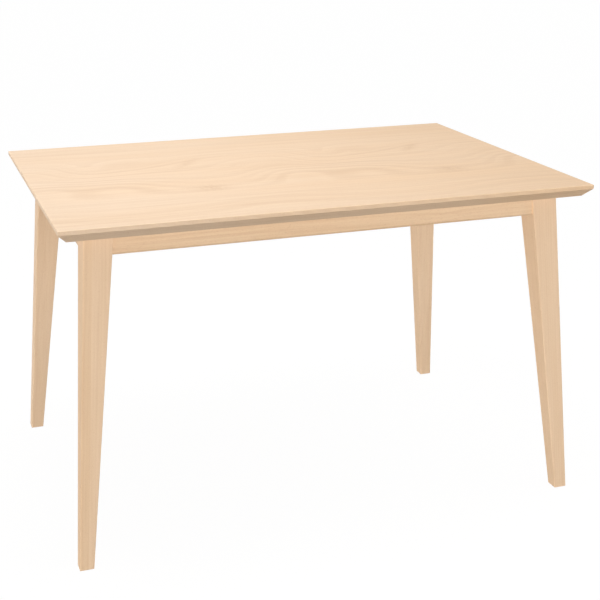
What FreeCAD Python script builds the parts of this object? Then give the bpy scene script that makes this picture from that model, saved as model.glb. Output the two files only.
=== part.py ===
import FreeCAD, Part
import math
import os

os.makedirs("parts", exist_ok=True)

# Sizes are in millimetres. X runs along the table, Y from the front edge to the back edge, Z up.
# The origin is on the floor under the middle of the closed table.

# Tabletop and its bevelled underside
top_length = 1200.0
top_width = 800.0
table_height = 756.0
edge_band = 9.0
bevel_drop = 19.0
bevel_inset = 18.5
arris_round = 0.8

# Legs, square in section, tapered and splayed both ways
leg_inset = 59.0
leg_top_section = 62.0
leg_foot_section = 31.0
leg_splay = 54.0
leg_edge_round = 2.0
bolt_flat_depth = 10.0
bolt_flat_shoulder = 2.0

# Rails under the top
rail_depth = 45.5
rail_thickness = 22.0
rail_setback = 2.0
rail_edge_round = 1.5

# Glide strips that carry the sliding top on the rails
strip_thickness = 1.5
strip_width = 16.0
strip_length = 130.0
strip_leg_gap = 84.0
end_strip_length = 160.0

# Corner blocks and the bolts that draw the legs against the rails
block_thickness = 26.0
block_height = 29.0
block_rise = 2.0
block_draw_gap = 4.0
block_screw_place = 11.0

bolt_radius = 4.0
bolt_length = 84.0
bolt_grip_in_leg = 38.0
washer_radius = 11.0
washer_thickness = 2.0
nut_across_flats = 13.0
nut_height = 6.5
fastener_sides = 12
hexagon_sides = 6

# Bearers that carry the stored leaf, and what sits on them
bearer_width = 60.0
bearer_thickness = 13.0
housing_depth = 9.0
joint_play = 0.2
felt_thickness = 1.5
felt_length = 90.0
felt_width = 40.0
felt_edge_gap = 35.0
fence_width = 14.0
fence_height = 20.0
fence_clearance = 2.5

# Steel slide channels under the top
channel_width = 28.0
channel_height = 12.0
channel_wall = 2.0
channel_lip = 6.5
channel_rail_gap = 31.0
channel_end_gap = 44.7
channel_screw_count = 4
channel_screw_margin = 30.0
running_play = 0.3

# Nylon shoes in the channels, on steel angles
shoe_spread = 100.0
shoe_length = 28.0
shoe_base_height = 2.4
shoe_lip_gap = 0.6
stop_length = 8.0
angle_thickness = 3.0
angle_width = 34.0
angle_drop = 28.0
angle_bend = 3.0
angle_screw_drop = 16.0
angle_screw_spread = 18.0
shoe_bolt_radius = 2.5
shoe_bolt_length = 9.0
shoe_bolt_head = 4.6
shoe_bolt_head_height = 2.6

# Fork locks that pin the extension leaf to the top
fork_channel_gap = 54.0
fork_prong_width = 6.0
fork_thickness = 4.0
fork_spread = 20.0
fork_travel = 40.0
fork_housing_length = 44.0
fork_housing_width = 38.0
fork_housing_height = 9.6
fork_drop = 3.0
fork_housing_inset = 9.0
fork_tip_inset = 1.5
fork_play = 0.1
fork_bend_gap = 2.0
fork_tip_slope = 2.0
fork_screw_place = 13.0
lock_corner_chamfer = 2.5
socket_length = 40.0
socket_setback = 3.0
socket_slot_depth = 26.0
pass_clearance = 3.0
pass_depth = 12.5

# Drop bolt that locks the top shut and locks it open
bolt_pin_radius = 5.0
bolt_pin_play = 0.08
bolt_travel = 12.0
bolt_lug_height = 4.0
bolt_plate_thickness = 3.0
bolt_lug_reach = 20.0
bolt_bracket_width = 34.0
bolt_collar_radius = 7.0
bolt_collar_height = 4.0
bolt_pin_proud = 0.5
bolt_knob_radius = 9.0
bolt_knob_sides = 12
bolt_knob_height = 5.0
bolt_knob_gap = 0.5
bolt_lug_below_top = 3.2
bolt_plate_tail = 12.0
bolt_screw_spread = 20.0
bush_wall = 2.0
bush_length = 12.0
bush_play = 0.6

# Wood screws, drawn with few sides because there are many of them
screw_sides = 8
screw_radius = 1.8
screw_head_radius = 3.4
screw_head_height = 1.8
screw_tip = 3.0
screw_tip_share = 0.35
hole_play = 0.15
channel_screw_length = 18.0
angle_screw_length = 16.0
block_screw_length = 32.0
lock_screw_length = 22.0
bolt_screw_length = 16.0

# Foot glides
glide_radius = 10.0
glide_rise = 1.5
glide_nail_radius = 1.5
glide_nail_length = 16.0
glide_sides = 24

# How far every cutter runs past the surface that it cuts
overrun = 5.0

# Levels and places that follow from the sizes above
half_length = top_length / 2
half_width = top_width / 2
top_thickness = edge_band + bevel_drop
underside = table_height - top_thickness
frame_top = underside - strip_thickness
rail_bottom = frame_top - rail_depth
leg_length = frame_top - glide_rise
leg_corner_x = half_length - leg_inset
leg_corner_y = half_width - leg_inset
rail_outer_x = leg_corner_x - rail_setback
rail_outer_y = leg_corner_y - rail_setback
rail_inner_x = rail_outer_x - rail_thickness
rail_inner_y = rail_outer_y - rail_thickness
bearer_top = rail_bottom + bearer_thickness
leaf_bottom = bearer_top + felt_thickness

# The channels run beside the long rails, and the fork locks beside the channels
channel_line = rail_inner_y - channel_rail_gap
fork_line = channel_line - fork_channel_gap

# The top slides as far as its channels have room to move in the frame.
# The gap that this opens takes the extension leaf.
shoe_group_half = (shoe_spread + shoe_length) / 2
slide_travel = rail_inner_x - shoe_group_half - running_play - stop_length - channel_end_gap
leaf_width = slide_travel

# The stored leaf lies midway between the left end rail and the bracket of the drop bolt.
# Its bearers lie midway between the shoe angles and the sockets under the leaf.
leaf_middle = -(bolt_plate_thickness + bolt_lug_reach) / 2
angle_edge = (shoe_spread + angle_width) / 2
socket_edge = fork_line + leaf_middle - fork_housing_width / 2
bearer_place = (angle_edge + socket_edge) / 2
felt_place = leaf_width / 2 - felt_edge_gap - felt_length / 2
long_strip_place = leg_corner_x - leg_top_section - strip_leg_gap - strip_length / 2

X_AXIS = FreeCAD.Vector(1, 0, 0)
Z_AXIS = FreeCAD.Vector(0, 0, 1)
CORNERS = {"front_left": (-1, -1), "front_right": (1, -1), "back_left": (-1, 1), "back_right": (1, 1)}
SIDES = {"front": -1, "back": 1}


def vec(x, y, z):
    return FreeCAD.Vector(x, y, z)


def save(name, *solids):
    """Write one node, a single solid or a group of alike solids."""
    shape = solids[0] if len(solids) == 1 else Part.makeCompound(list(solids))
    shape.exportStep("parts/" + name + ".step")


def box(x_range, y_range, z_range):
    """A block between two corners, given as ranges in any order."""
    spans = [sorted(r) for r in (x_range, y_range, z_range)]
    low = vec(*[s[0] for s in spans])
    sizes = [s[1] - s[0] for s in spans]
    return Part.makeBox(sizes[0], sizes[1], sizes[2], low)


def centred(middle, size):
    """The range of a given size about a middle."""
    return (middle - size / 2, middle + size / 2)


def planar_solid(low_ring, high_ring):
    """A solid between two level outlines that both run anticlockwise, with flat side faces."""
    outlines = [list(reversed(low_ring)), list(high_ring)]
    count = len(low_ring)
    for i in range(count):
        j = (i + 1) % count
        outlines.append([low_ring[i], low_ring[j], high_ring[j], high_ring[i]])
    shell = Part.makeShell([Part.Face(Part.makePolygon(line + [line[0]])) for line in outlines])
    shell.sewShape()
    return Part.makeSolid(shell)


def rectangle(x_range, y_range, z):
    """The four corners of a level rectangle, in order round it."""
    return [vec(x_range[0], y_range[0], z), vec(x_range[1], y_range[0], z),
            vec(x_range[1], y_range[1], z), vec(x_range[0], y_range[1], z)]


def prism(points, direction):
    """A flat outline pushed along a direction."""
    face = Part.Face(Part.makePolygon(list(points) + [points[0]]))
    return face.extrude(direction)


def rod(start, direction, radius, length):
    return Part.makeCylinder(radius, length, start, direction)


def faceted(profile, start, direction, sides=screw_sides):
    """A stack of many-sided rings, given as (radius, height) points, laid on a direction."""
    rings = []
    for radius, height in profile:
        angles = [math.tau * i / sides for i in range(sides)]
        rings.append([vec(radius * math.cos(a), radius * math.sin(a), height) for a in angles])
    outlines = [list(reversed(rings[0])), rings[-1]]
    for low, high in zip(rings, rings[1:]):
        for i in range(sides):
            j = (i + 1) % sides
            outlines.append([low[i], low[j], high[j], high[i]])
    shell = Part.makeShell([Part.Face(Part.makePolygon(line + [line[0]])) for line in outlines])
    shell.sewShape()
    solid = Part.makeSolid(shell)
    solid.Placement = FreeCAD.Placement(start, FreeCAD.Rotation(Z_AXIS, direction))
    return solid


def round_bar(start, direction, radius, length):
    """A plain bar with the few sides that a fastener gets."""
    return faceted([(radius, 0), (radius, length)], start, direction, fastener_sides)


def edges_where(shape, test):
    """The straight edges of a shape whose two ends pass a test."""
    straight = [e for e in shape.Edges if len(e.Vertexes) == 2]
    return [e for e in straight if test(e.Vertexes[0].Point, e.Vertexes[1].Point)]


def wood_screw(seat, direction, length):
    """A flat-headed screw whose head stands on a surface, driven along a direction."""
    profile = [(screw_head_radius, -screw_head_height), (screw_head_radius, 0), (screw_radius, 0),
               (screw_radius, length - screw_tip), (screw_radius * screw_tip_share, length)]
    return faceted(profile, seat, direction)


def sunk_screw(face, direction, length):
    """A countersunk screw whose head lies level with a surface."""
    profile = [(screw_head_radius, 0), (screw_radius, screw_head_height),
               (screw_radius, length - screw_tip), (screw_radius * screw_tip_share, length)]
    return faceted(profile, face, direction)


def screw_hole(seat, direction, length):
    """The hole that takes a screw's shank."""
    radius = screw_radius + hole_play
    return faceted([(radius, -overrun), (radius, length + hole_play)], seat, direction)


def sunk_hole(face, direction, length):
    """The hole and the countersink that take a countersunk screw."""
    head, shank = screw_head_radius + hole_play, screw_radius + hole_play
    profile = [(head, -overrun), (head, 0), (shank, screw_head_height), (shank, length + hole_play)]
    return faceted(profile, face, direction)


def cut_all(shape, cutters):
    return shape.cut(Part.makeCompound(cutters)) if cutters else shape


def leg_corner(sx, sy, z):
    """The outer corner and the section of a leg at a height."""
    share = (frame_top - z) / leg_length
    reach = leg_splay * share
    section = leg_top_section + (leg_foot_section - leg_top_section) * share
    return sx * (leg_corner_x + reach), sy * (leg_corner_y + reach), section


def foot_middle(sx, sy):
    """The point of the floor under the middle of a foot."""
    x, y, section = leg_corner(sx, sy, glide_rise)
    return vec(x - sx * section / 2, y - sy * section / 2, 0)


def leg_face_distance(corner, z):
    """How far from the table's middle the inner face of a leg lies at a height."""
    share = (frame_top - z) / leg_length
    section = leg_top_section + (leg_foot_section - leg_top_section) * share
    return corner + leg_splay * share - section


def bevelled_board(x_range, y_range, bottom, insets):
    """A board with an upright edge band and an underside bevel, drawn in by an inset on each side."""
    left, right, front, back = insets
    band_bottom = bottom + bevel_drop
    low_x = (x_range[0] + left, x_range[1] - right)
    low_y = (y_range[0] + front, y_range[1] - back)
    low = rectangle(low_x, low_y, bottom)
    high = rectangle(x_range, y_range, band_bottom)
    band = box(x_range, y_range, (band_bottom, band_bottom + edge_band))
    board = planar_solid(low, high).fuse(band).removeSplitter()
    board = board.Solids[0]
    level = bottom + top_thickness
    upper = edges_where(board, lambda a, b: min(a.z, b.z) > level - arris_round)
    return board.makeFillet(arris_round, upper)


# Screw places under the top, shared by what is screwed on and by the holes
channel_right = shoe_group_half + running_play + stop_length
channel_left = -channel_right - slide_travel
channel_web = underside - channel_wall


def channel_screw_places(side):
    first = channel_left + channel_screw_margin
    step = (channel_right - channel_left - 2 * channel_screw_margin) / (channel_screw_count - 1)
    return [vec(first + i * step, side * channel_line, channel_web) for i in range(channel_screw_count)]


housing_left = -half_length + bevel_inset + fork_housing_inset
housing_right = housing_left + fork_housing_length
housing_bottom = underside - fork_housing_height
fork_high = underside - fork_drop


def fork_screw_places(side):
    middle = (housing_left + housing_right) / 2
    return [vec(middle + sx * fork_screw_place, side * fork_line, housing_bottom) for sx in (-1, 1)]


pin_x = rail_inner_x - bolt_plate_thickness - bolt_lug_reach / 2
strike_places = (pin_x, pin_x - slide_travel)
bush_outer = bolt_pin_radius + bush_play + bush_wall


def make_top():
    edge = (bevel_inset,) * 4
    board = bevelled_board((-half_length, half_length), (-half_width, half_width), underside, edge)
    cutters = []
    for side in SIDES.values():
        cutters += [sunk_hole(p, Z_AXIS, channel_screw_length) for p in channel_screw_places(side)]
        cutters += [screw_hole(p, Z_AXIS, lock_screw_length) for p in fork_screw_places(side)]
    for x in strike_places:
        start = vec(x, 0, underside - overrun)
        cutters.append(rod(start, Z_AXIS, bush_outer + hole_play, bush_length + overrun))
        deeper = bush_length + bolt_pin_radius / 2
        cutters.append(rod(vec(x, 0, underside), Z_AXIS, bolt_pin_radius + bush_play, deeper))
    save("table_top", cut_all(board, cutters))


def make_strike_bushes():
    bushes = []
    for x in strike_places:
        bush = rod(vec(x, 0, underside), Z_AXIS, bush_outer, bush_length)
        start = vec(x, 0, underside - overrun)
        bore = rod(start, Z_AXIS, bolt_pin_radius + bush_play, bush_length + 2 * overrun)
        bushes.append(bush.cut(bore))
    save("strike_bushes", *bushes)


# The hanger bolts lie level, on the diagonal of each corner
bolt_level = rail_bottom + block_rise + block_height / 2
flat_sum = leg_corner_x + leg_corner_y - 2 * leg_top_section - bolt_flat_depth
block_outer_sum = flat_sum - block_draw_gap
block_inner_sum = block_outer_sum - block_thickness * math.sqrt(2)


def diagonal_point(sx, sy, total, z):
    """The point of a corner's bolt line where |x| + |y| comes to a total."""
    lead = leg_corner_x - leg_corner_y
    return vec(sx * (total + lead) / 2, sy * (total - lead) / 2, z)


def make_leg(name, sx, sy):
    rings = []
    for z in (glide_rise, frame_top):
        x, y, section = leg_corner(sx, sy, z)
        rings.append(rectangle(sorted((x, x - sx * section)), sorted((y, y - sy * section)), z))
    leg = planar_solid(rings[0], rings[1])
    leg = leg.makeFillet(leg_edge_round, edges_where(leg, lambda a, b: abs(a.z - b.z) > leg_length / 2))
    flat_low = rail_bottom + bolt_flat_shoulder
    face = [diagonal_point(sx, sy, flat_sum, flat_low) + vec(sx * d, -sy * d, 0)
            for d in (-leg_top_section, leg_top_section)]
    back = [p - vec(sx * leg_top_section, sy * leg_top_section, 0) for p in reversed(face)]
    flat = prism(face + back, vec(0, 0, rail_depth))
    outward = vec(sx, sy, 0).normalize()
    start = diagonal_point(sx, sy, flat_sum, bolt_level)
    depth = bolt_grip_in_leg + overrun + hole_play
    bore = round_bar(start - outward * overrun, outward, bolt_radius + hole_play, depth)
    nail_radius = glide_nail_radius + hole_play
    nail = faceted([(nail_radius, 0), (nail_radius, glide_rise + glide_nail_length + hole_play)],
                   foot_middle(sx, sy), Z_AXIS)
    save("leg_" + name, cut_all(leg, [flat, bore, nail]))


def make_foot_glide(name, sx, sy):
    """A round nylon glide with its nail in the end of the leg."""
    foot = foot_middle(sx, sy)
    nail_end = glide_rise + glide_nail_length
    profile = [(glide_nail_radius, glide_rise / 2), (glide_nail_radius, nail_end - glide_nail_radius),
               (glide_nail_radius * screw_tip_share, nail_end)]
    nail = faceted(profile, foot, Z_AXIS)
    disc = faceted([(glide_radius, 0), (glide_radius, glide_rise)], foot, Z_AXIS, glide_sides)
    save("foot_glide_" + name, disc.fuse(nail).Solids[0])


def block_screw_places(sx, sy):
    """Seat and direction of the two screws that hold a corner block, one into each rail."""
    inward = block_inner_sum + block_screw_place
    into_long = vec(sx * (inward - rail_inner_y + block_screw_length / 2),
                    sy * (rail_inner_y - block_screw_length / 2), bolt_level)
    into_end = vec(sx * (rail_inner_x - block_screw_length / 2),
                   sy * (inward - rail_inner_x + block_screw_length / 2), bolt_level)
    return [(into_long, vec(0, sy, 0)), (into_end, vec(sx, 0, 0))]


def make_corner_block(name, sx, sy):
    low = rail_bottom + block_rise
    outline = [vec(sx * rail_inner_x, sy * (block_outer_sum - rail_inner_x), low),
               vec(sx * (block_outer_sum - rail_inner_y), sy * rail_inner_y, low),
               vec(sx * (block_inner_sum - rail_inner_y), sy * rail_inner_y, low),
               vec(sx * rail_inner_x, sy * (block_inner_sum - rail_inner_x), low)]
    block = prism(outline, vec(0, 0, block_height))
    outward = vec(sx, sy, 0).normalize()
    start = diagonal_point(sx, sy, block_inner_sum, bolt_level) - outward * overrun
    cutters = [round_bar(start, outward, bolt_radius + hole_play, block_thickness + 2 * overrun)]
    head_radius, shank_radius = screw_head_radius + hole_play, screw_radius + hole_play
    pocket = [(head_radius, -2 * block_screw_place), (head_radius, 0), (shank_radius, 0),
              (shank_radius, block_screw_length)]
    cutters += [faceted(pocket, seat, way) for seat, way in block_screw_places(sx, sy)]
    save("corner_block_" + name, cut_all(block, cutters))


def hexagon_nut(start, direction):
    """A plain nut with a clear bore."""
    corner = nut_across_flats / math.sqrt(3)
    nut = faceted([(corner, 0), (corner, nut_height)], start, direction, hexagon_sides)
    back = start - direction * overrun
    return nut.cut(round_bar(back, direction, bolt_radius + hole_play, nut_height + 2 * overrun))


def make_leg_bolts():
    bolts, washers, nuts = [], [], []
    for sx, sy in CORNERS.values():
        outward = vec(sx, sy, 0).normalize()
        tip = diagonal_point(sx, sy, flat_sum, bolt_level) + outward * bolt_grip_in_leg
        bolts.append(round_bar(tip - outward * bolt_length, outward, bolt_radius, bolt_length))
        face = diagonal_point(sx, sy, block_inner_sum, bolt_level) - outward * washer_thickness
        washer = round_bar(face, outward, washer_radius, washer_thickness)
        depth = washer_thickness + 2 * overrun
        bore = round_bar(face - outward * overrun, outward, bolt_radius + hole_play, depth)
        washers.append(washer.cut(bore))
        nuts.append(hexagon_nut(face - outward * nut_height, outward))
    save("hanger_bolts", *bolts)
    save("bolt_washers", *washers)
    save("bolt_nuts", *nuts)


def make_block_screws():
    screws = []
    for sx, sy in CORNERS.values():
        screws += [wood_screw(head, way, block_screw_length) for head, way in block_screw_places(sx, sy)]
    save("corner_block_screws", *screws)


def angle_screw_places(sx, side):
    """Head places of the two screws that hold a shoe angle to a long rail."""
    y = side * (rail_inner_y - angle_thickness)
    z = angle_top - angle_screw_drop
    middle = sx * shoe_spread / 2
    return [vec(middle + d * angle_screw_spread / 2, y, z) for d in (-1, 1)]


def make_long_rail(name, side):
    ends = [leg_face_distance(leg_corner_x, z) for z in (rail_bottom, frame_top)]
    y_range = sorted((side * rail_inner_y, side * rail_outer_y))
    low = rectangle((-ends[0], ends[0]), y_range, rail_bottom)
    high = rectangle((-ends[1], ends[1]), y_range, frame_top)
    rail = planar_solid(low, high)
    below = rail_bottom + rail_edge_round
    lower = edges_where(rail, lambda a, b: max(a.z, b.z) < below and abs(a.y - b.y) < rail_edge_round)
    rail = rail.makeFillet(rail_edge_round, lower)
    cutters = []
    for sx in (-1, 1):
        x_range = centred(sx * bearer_place, bearer_width + 2 * joint_play)
        depth = (side * (rail_inner_y - overrun), side * (rail_inner_y + housing_depth + joint_play))
        cutters.append(box(x_range, depth, (rail_bottom - overrun, bearer_top + joint_play)))
        way = vec(0, side, 0)
        cutters += [screw_hole(p, way, angle_screw_length) for p in angle_screw_places(sx, side)]
        head, way = block_screw_places(sx, side)[0]
        cutters.append(screw_hole(head, way, block_screw_length))
    save(name + "_rail", cut_all(rail, cutters))


def bolt_screw_places():
    x = rail_inner_x - bolt_plate_thickness
    z = lug_low - bolt_plate_tail / 2
    return [vec(x, d * bolt_screw_spread / 2, z) for d in (-1, 1)]


def make_end_rail(name, sx):
    ends = [leg_face_distance(leg_corner_y, z) for z in (rail_bottom, frame_top)]
    x_range = sorted((sx * rail_inner_x, sx * rail_outer_x))
    low = rectangle(x_range, (-ends[0], ends[0]), rail_bottom)
    high = rectangle(x_range, (-ends[1], ends[1]), frame_top)
    rail = planar_solid(low, high)
    below = rail_bottom + rail_edge_round
    lower = edges_where(rail, lambda a, b: max(a.z, b.z) < below and abs(a.x - b.x) < rail_edge_round)
    rail = rail.makeFillet(rail_edge_round, lower)
    cutters = []
    for side in SIDES.values():
        head, way = block_screw_places(sx, side)[1]
        cutters.append(screw_hole(head, way, block_screw_length))
        if sx < 0:
            gap = centred(side * fork_line, fork_housing_width + 2 * pass_clearance)
            through = (sx * (rail_inner_x - overrun), sx * (rail_outer_x + overrun))
            cutters.append(box(through, gap, (frame_top - pass_depth, frame_top + overrun)))
    if sx > 0:
        cutters += [screw_hole(p, X_AXIS, bolt_screw_length) for p in bolt_screw_places()]
    save(name + "_end_rail", cut_all(rail, cutters))


def make_glide_strips():
    """The strips that carry the top, two on each long rail and one on each end rail."""
    z_range = (frame_top, underside)
    long_line = rail_inner_y + rail_thickness / 2
    for name, side in SIDES.items():
        y_range = centred(side * long_line, strip_width)
        strips = [box(centred(sx * long_strip_place, strip_length), y_range, z_range) for sx in (-1, 1)]
        save("glide_strips_" + name, *strips)
    end_line = rail_inner_x + rail_thickness / 2
    y_range = centred(0, end_strip_length)
    strips = [box(centred(sx * end_line, strip_width), y_range, z_range) for sx in (-1, 1)]
    save("glide_strips_ends", *strips)


def make_leaf_store():
    """Bearers housed in the long rails, with felt pads and the fences that keep the leaf between them."""
    fence_line = leaf_width / 2 + fence_clearance + fence_width / 2
    felts = []
    for end_name, sx in (("left", -1), ("right", 1)):
        reach = rail_inner_y + housing_depth
        x_range = centred(sx * bearer_place, bearer_width)
        save("leaf_bearer_" + end_name, box(x_range, (-reach, reach), (rail_bottom, bearer_top)))
        for side_name, side in SIDES.items():
            place = side_name + "_" + end_name
            y_range = centred(side * fence_line, fence_width)
            fence = box(x_range, y_range, (bearer_top, bearer_top + fence_height))
            over = edges_where(fence, lambda a, b: min(a.z, b.z) > bearer_top + fence_height / 2)
            save("leaf_fence_" + place, fence.makeChamfer(rail_edge_round, over))
            felt_x = centred(sx * bearer_place, felt_width)
            felts.append(box(felt_x, centred(side * felt_place, felt_length), (bearer_top, leaf_bottom)))
    save("felt_pads", *felts)


def socket_screw_places(end):
    """Screws of a socket on the stored leaf, whose joint edge faces the back of the table."""
    middle = leaf_width / 2 - socket_setback - socket_length / 2
    low = leaf_bottom - fork_housing_height
    return [vec(leaf_middle + end * fork_line, middle + d * fork_screw_place, low) for d in (-1, 1)]


def make_leaf():
    """The loose leaf, stored a quarter turn round so that its length lies along the table."""
    x_range = centred(leaf_middle, top_width)
    y_range = centred(0, leaf_width)
    leaf = bevelled_board(x_range, y_range, leaf_bottom, (bevel_inset, bevel_inset, bevel_inset, 0))
    cutters = []
    for end in (-1, 1):
        cutters += [screw_hole(p, Z_AXIS, lock_screw_length) for p in socket_screw_places(end)]
    save("extension_leaf", cut_all(leaf, cutters))


def lock_block(x_range, y_range, low, slots, screw_places):
    """A moulded block with chamfered corners, slots for the prongs and holes for its screws."""
    block = box(x_range, y_range, (low, low + fork_housing_height))
    upright = edges_where(block, lambda a, b: abs(a.z - b.z) > fork_housing_height / 2)
    block = block.makeChamfer(lock_corner_chamfer, upright)
    return cut_all(block, slots + [screw_hole(p, Z_AXIS, lock_screw_length) for p in screw_places])


def make_sockets():
    """Blocks under the leaf that the fork prongs run into."""
    screws = []
    far = leaf_width / 2 - socket_setback
    low = leaf_bottom - fork_housing_height
    slot_high = leaf_bottom - fork_drop
    slot_y = (far - socket_slot_depth, far + overrun)
    slot_z = (slot_high - fork_thickness - running_play, slot_high + running_play)
    slot_width = fork_prong_width + 2 * running_play
    for end_name, end in (("left", -1), ("right", 1)):
        places = socket_screw_places(end)
        middle = leaf_middle + end * fork_line
        lines = [middle + d * fork_spread / 2 for d in (-1, 1)]
        slots = [box(centred(line, slot_width), slot_y, slot_z) for line in lines]
        width = centred(middle, fork_housing_width)
        block = lock_block(width, (far - socket_length, far), low, slots, places)
        save("leaf_socket_" + end_name, block)
        screws += [wood_screw(p, Z_AXIS, lock_screw_length) for p in places]
    save("leaf_socket_screws", *screws)


def make_slide_channel(name, side):
    """A steel channel with turned-in lips, open downwards, and the stops in its two ends."""
    middle = side * channel_line
    low = underside - channel_height
    through = (channel_left - overrun, channel_right + overrun)
    inside = centred(middle, channel_width - 2 * channel_wall)
    inside_z = (low + channel_wall, channel_web)
    mouth = centred(middle, channel_width - 2 * channel_lip)
    channel = box((channel_left, channel_right), centred(middle, channel_width), (low, underside))
    cutters = [box(through, inside, inside_z), box(through, mouth, (low - overrun, low + channel_wall))]
    cutters += [sunk_hole(p, Z_AXIS, channel_screw_length) for p in channel_screw_places(side)]
    save("slide_channel_" + name, cut_all(channel, cutters))
    stop_starts = (channel_left, channel_right - stop_length)
    stops = [box((x, x + stop_length), inside, inside_z) for x in stop_starts]
    save("slide_stops_" + name, *stops)


def make_channel_screws():
    screws = []
    for side in SIDES.values():
        screws += [sunk_screw(p, Z_AXIS, channel_screw_length) for p in channel_screw_places(side)]
    save("slide_channel_screws", *screws)


shoe_base_top = underside - channel_height - shoe_lip_gap
angle_top = shoe_base_top - shoe_base_height


def shoe_bolt_hole(sx, side):
    radius = shoe_bolt_radius + hole_play
    seat = vec(sx * shoe_spread / 2, side * channel_line, angle_top - angle_thickness)
    return faceted([(radius, -overrun), (radius, shoe_bolt_length + hole_play)], seat, Z_AXIS)


def make_shoe(place, sx, side):
    """A nylon shoe that runs in the channel, with its neck between the lips."""
    x_range = centred(sx * shoe_spread / 2, shoe_length)
    middle = side * channel_line
    neck = channel_width - 2 * channel_lip - 2 * running_play
    head = channel_width - 2 * channel_wall - 2 * running_play
    head_low = underside - channel_height + channel_wall + running_play
    head_high = channel_web - running_play
    foot = channel_width
    outline = [(foot / 2, angle_top), (foot / 2, shoe_base_top), (neck / 2, shoe_base_top),
               (neck / 2, head_low), (head / 2, head_low), (head / 2, head_high)]
    points = [vec(x_range[0], middle + y, z) for y, z in outline]
    points += [vec(x_range[0], middle - y, z) for y, z in reversed(outline)]
    shoe = prism(points, vec(shoe_length, 0, 0))
    save("slide_shoe_" + place, shoe.cut(shoe_bolt_hole(sx, side)))


def make_angle(place, sx, side):
    """A bent steel angle that carries a shoe on the inner face of a long rail."""
    shelf_end = channel_line - channel_width / 2
    outside = angle_bend + angle_thickness
    wall_line = rail_inner_y
    inner_line = rail_inner_y - angle_thickness
    tail = angle_top - angle_drop
    shelf_low = angle_top - angle_thickness
    mid = math.sqrt(0.5)

    def at(y, z):
        return vec(sx * shoe_spread / 2 - angle_width / 2, side * y, z)

    centre_y, centre_z = wall_line - outside, angle_top - outside
    outer_arc = Part.Arc(at(centre_y, angle_top), at(centre_y + outside * mid, centre_z + outside * mid),
                         at(wall_line, centre_z))
    inner_arc = Part.Arc(at(inner_line, centre_z),
                         at(centre_y + angle_bend * mid, centre_z + angle_bend * mid),
                         at(centre_y, shelf_low))
    runs = [Part.LineSegment(at(shelf_end, angle_top), at(centre_y, angle_top)), outer_arc,
            Part.LineSegment(at(wall_line, centre_z), at(wall_line, tail)),
            Part.LineSegment(at(wall_line, tail), at(inner_line, tail)),
            Part.LineSegment(at(inner_line, tail), at(inner_line, centre_z)), inner_arc,
            Part.LineSegment(at(centre_y, shelf_low), at(shelf_end, shelf_low)),
            Part.LineSegment(at(shelf_end, shelf_low), at(shelf_end, angle_top))]
    angle = Part.Face(Part.Wire([run.toShape() for run in runs])).extrude(vec(angle_width, 0, 0))
    cutters = [screw_hole(p, vec(0, side, 0), angle_screw_length) for p in angle_screw_places(sx, side)]
    cutters.append(shoe_bolt_hole(sx, side))
    save("shoe_angle_" + place, cut_all(angle, cutters))


def make_slide_fasteners():
    screws, bolts = [], []
    shelf_low = angle_top - angle_thickness
    for sx, side in CORNERS.values():
        way = vec(0, side, 0)
        screws += [wood_screw(p, way, angle_screw_length) for p in angle_screw_places(sx, side)]
        seat = vec(sx * shoe_spread / 2, side * channel_line, shelf_low)
        head_profile = [(shoe_bolt_head, -shoe_bolt_head_height), (shoe_bolt_head, 0)]
        head = faceted(head_profile, seat, Z_AXIS, hexagon_sides)
        inside_head = -shoe_bolt_head_height / 2
        shank_profile = [(shoe_bolt_radius, inside_head), (shoe_bolt_radius, shoe_bolt_length)]
        shank = faceted(shank_profile, seat, Z_AXIS)
        bolts.append(head.fuse(shank).Solids[0])
    save("shoe_angle_screws", *screws)
    save("shoe_bolts", *bolts)


def make_fork_lock(name, side):
    """The guide block under the top, and the flat fork that slides out of it to pin the leaf."""
    middle = side * fork_line
    fork_low = fork_high - fork_thickness
    slot_width = fork_prong_width + 2 * fork_play
    through = (housing_left - overrun, housing_right + overrun)
    slot_z = (fork_low - fork_play, fork_high + fork_play)
    slots = [box(through, centred(middle + d * fork_spread / 2, slot_width), slot_z) for d in (-1, 1)]
    length = (housing_left, housing_right)
    width = centred(middle, fork_housing_width)
    guide = lock_block(length, width, housing_bottom, slots, fork_screw_places(side))
    save("fork_guide_" + name, guide)

    tip = -half_length + bevel_inset + fork_tip_inset
    bend = housing_right + fork_travel + fork_bend_gap
    outer = (fork_spread + fork_prong_width) / 2
    inner = outer - fork_prong_width

    def at(x, y):
        return vec(x, middle + y, fork_low)

    slope = fork_tip_slope
    prong = [at(bend, inner), at(tip, inner), at(tip, outer - slope), at(tip + slope, outer), at(bend, outer)]
    other_prong = [at(bend, -outer), at(tip + slope, -outer), at(tip, slope - outer), at(tip, -inner),
                   at(bend, -inner)]
    outline = [Part.makePolygon(prong),
               Part.Arc(at(bend, outer), at(bend + outer, 0), at(bend, -outer)).toShape(),
               Part.makePolygon(other_prong),
               Part.Arc(at(bend, -inner), at(bend + inner, 0), at(bend, inner)).toShape()]
    edges = [edge for piece in outline for edge in piece.Edges]
    save("lock_fork_" + name, Part.Face(Part.Wire(edges)).extrude(vec(0, 0, fork_thickness)))


def make_fork_screws():
    screws = []
    for side in SIDES.values():
        screws += [wood_screw(p, Z_AXIS, lock_screw_length) for p in fork_screw_places(side)]
    save("fork_guide_screws", *screws)


# The drop bolt hangs on its collar between two lugs, with its knob below them
upper_lug_top = underside - bolt_lug_below_top
upper_lug_low = upper_lug_top - bolt_lug_height
collar_low = upper_lug_low - bolt_travel - bolt_collar_height
lug_low = collar_low - bolt_lug_height
knob_top = lug_low - bolt_travel - bolt_knob_gap
knob_low = knob_top - bolt_knob_height


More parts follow.
